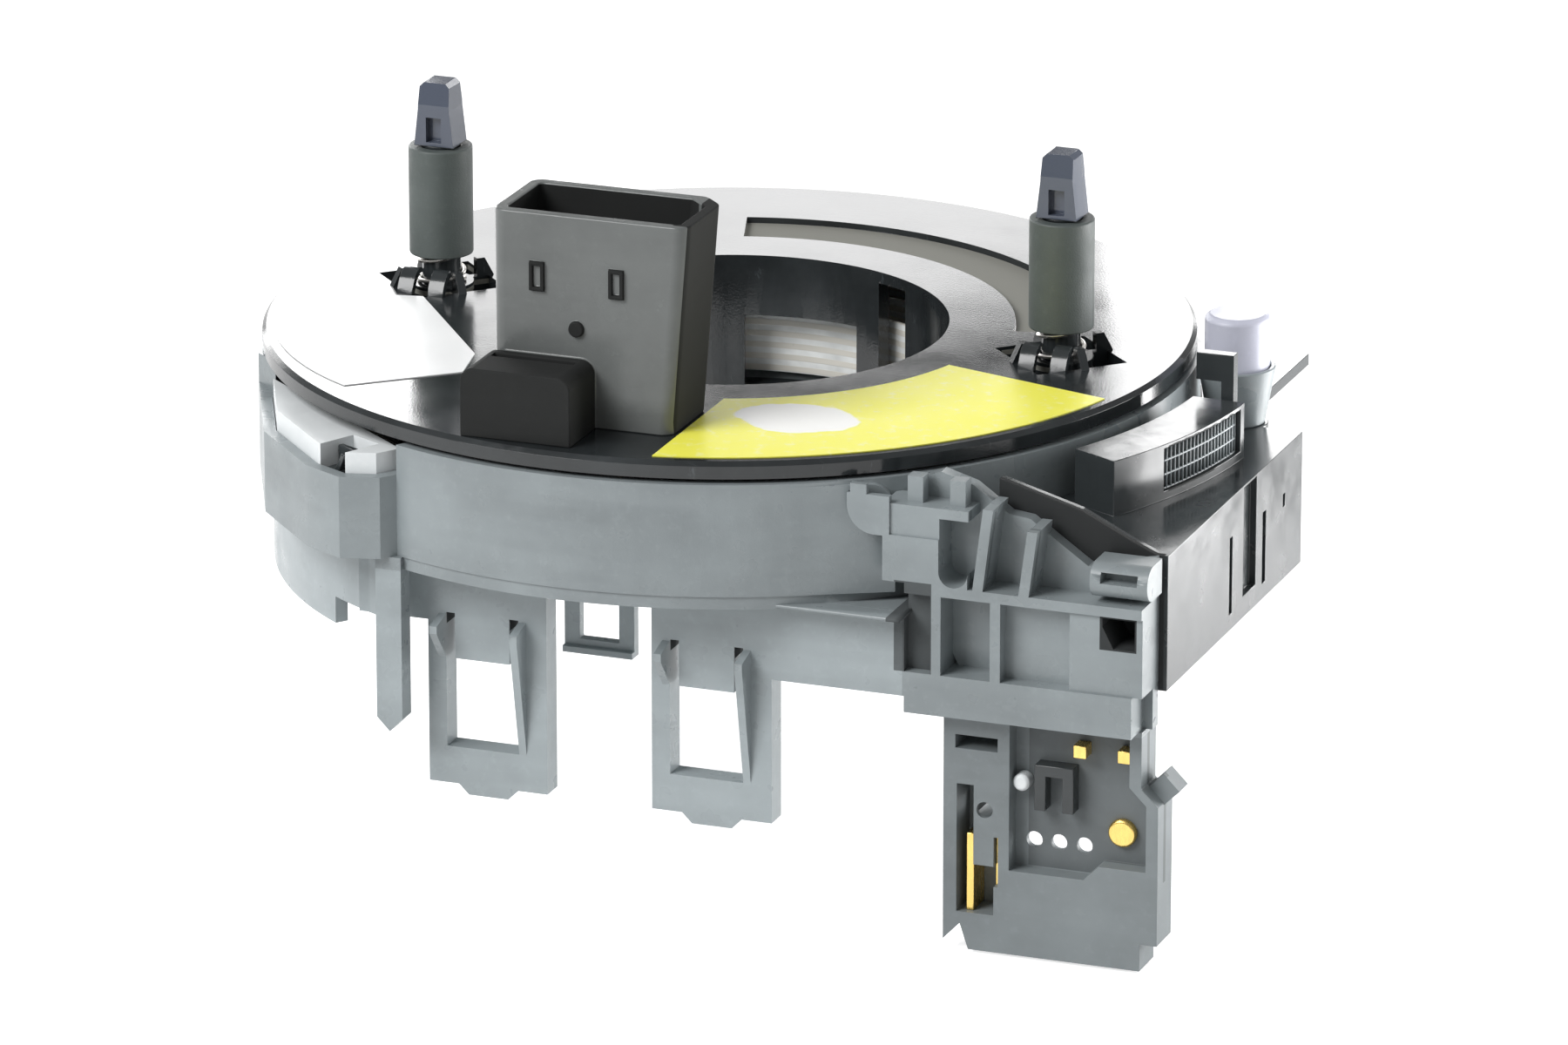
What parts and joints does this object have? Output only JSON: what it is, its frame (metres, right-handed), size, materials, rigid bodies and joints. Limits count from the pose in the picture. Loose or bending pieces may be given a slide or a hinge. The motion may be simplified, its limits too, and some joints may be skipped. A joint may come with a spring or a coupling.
{
  "type": "steering clock spring",
  "caption": "Rotary ribbon connector for a steering column: turning disc with socket and sprung lock posts on a fixed case with snap frames, side arm, sensor housing and hanging contact block.",
  "frame": {"origin": "on the rotor axis in the plane of the disc's top face", "axes": "+Z along the rotor axis towards the driver, +X to the arm side, -Y to the side with the socket and the snap frames"},
  "size_m": [0.1236, 0.109, 0.081],
  "materials": {
    "gray_plastic": "satin moulded, fine grain",
    "gloss_black_plastic": "polished",
    "dark_plastic": "fine satin",
    "charcoal_plastic": "satin moulded",
    "sleeve_plastic": "matt",
    "spring_steel": "drawn wire",
    "yellow_film": "printed film, bare",
    "white_film": "printed film, bare",
    "ribbon_film": "satin film",
    "board_laminate": "lacquered",
    "buffer_plastic": "satin",
    "gold_contact": "plated",
    "pale_plastic": "satin"
  },
  "bodies": {
    "stator": {"stator_case": "gray_plastic", "mounting_carrier": "gray_plastic", "sensor_housing": "dark_plastic", "lower_cover": "gray_plastic", "housing_cover": "dark_plastic", "circuit_board": "board_laminate", "light_barriers": "dark_plastic", "ribbon_cable": "ribbon_film", "ribbon_end_holder": "pale_plastic", "holder_clip": "dark_plastic", "buffer_cup": "gray_plastic", "stop_buffer": "buffer_plastic", "terminal_block": "gray_plastic", "contact_blades": "gold_contact", "contact_pins": "gold_contact", "contact_pad": "gold_contact", "block_stud": "pale_plastic", "block_clip": "dark_plastic"},
    "rotor": {"rotor_disc": "gloss_black_plastic", "rotor_hub": "gloss_black_plastic", "code_ring": "dark_plastic", "connector_shroud": "charcoal_plastic", "socket_terminals": "gold_contact", "yellow_label": "yellow_film", "white_label": "white_film", "left_lock_spring": "spring_steel", "right_lock_spring": "spring_steel"},
    "left_lock": {"left_lock_sleeve": "sleeve_plastic"},
    "right_lock": {"right_lock_sleeve": "sleeve_plastic"}
  },
  "joints": [
    {"name": "rotor_turn", "type": "hinge", "parent": "stator", "child": "rotor", "pos_m": [0, 0, 0], "axis": [0, 0, 1], "range_deg": [-900, 900]},
    {"name": "left_lock_slide", "type": "slide", "parent": "rotor", "child": "left_lock", "axis": [0, 0, 1], "range_m": [-0.003, 0], "stiffness_N_per_m": 300, "springref_m": 0.003, "deforming": ["left_lock_spring"]},
    {"name": "right_lock_slide", "type": "slide", "parent": "rotor", "child": "right_lock", "axis": [0, 0, 1], "range_m": [-0.003, 0], "stiffness_N_per_m": 300, "springref_m": 0.003, "deforming": ["right_lock_spring"]}
  ]
}
